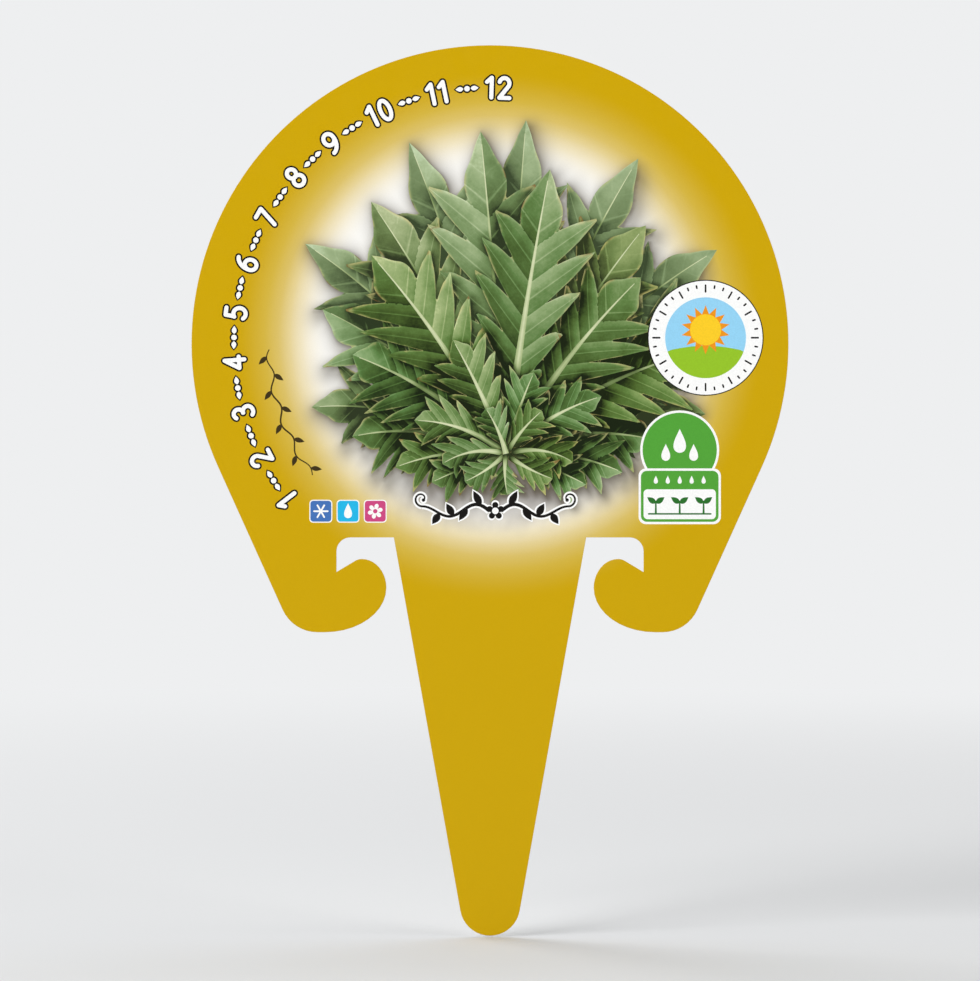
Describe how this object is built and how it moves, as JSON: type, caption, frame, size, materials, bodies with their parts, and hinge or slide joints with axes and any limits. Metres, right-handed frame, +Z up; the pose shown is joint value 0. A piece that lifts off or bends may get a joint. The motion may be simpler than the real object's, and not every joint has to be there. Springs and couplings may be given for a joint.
{
  "type": "plant label",
  "caption": "Flat die-cut plastic plant label with a round printed head, a tapered stake for the soil and two side hooks that clip over a pot's rim.",
  "frame": {"origin": "on the centre line and in the middle of the sheet's thickness, at the shoulder line where the stake leaves the head, which is also the ceiling of both rim notches", "axes": "+Z up along the label's length towards the head's top, +X across the label's width, +Y through its thickness out of the plain back; the printed face looks along -Y"},
  "size_m": [0.09, 0.0006, 0.1343],
  "materials": {
    "printed_plastic": "satin print on white polypropylene sheet: gold ground with a cream glow and a green leaf picture"
  },
  "bodies": {
    "root": {"label_sheet": "printed_plastic"}
  },
  "joints": []
}
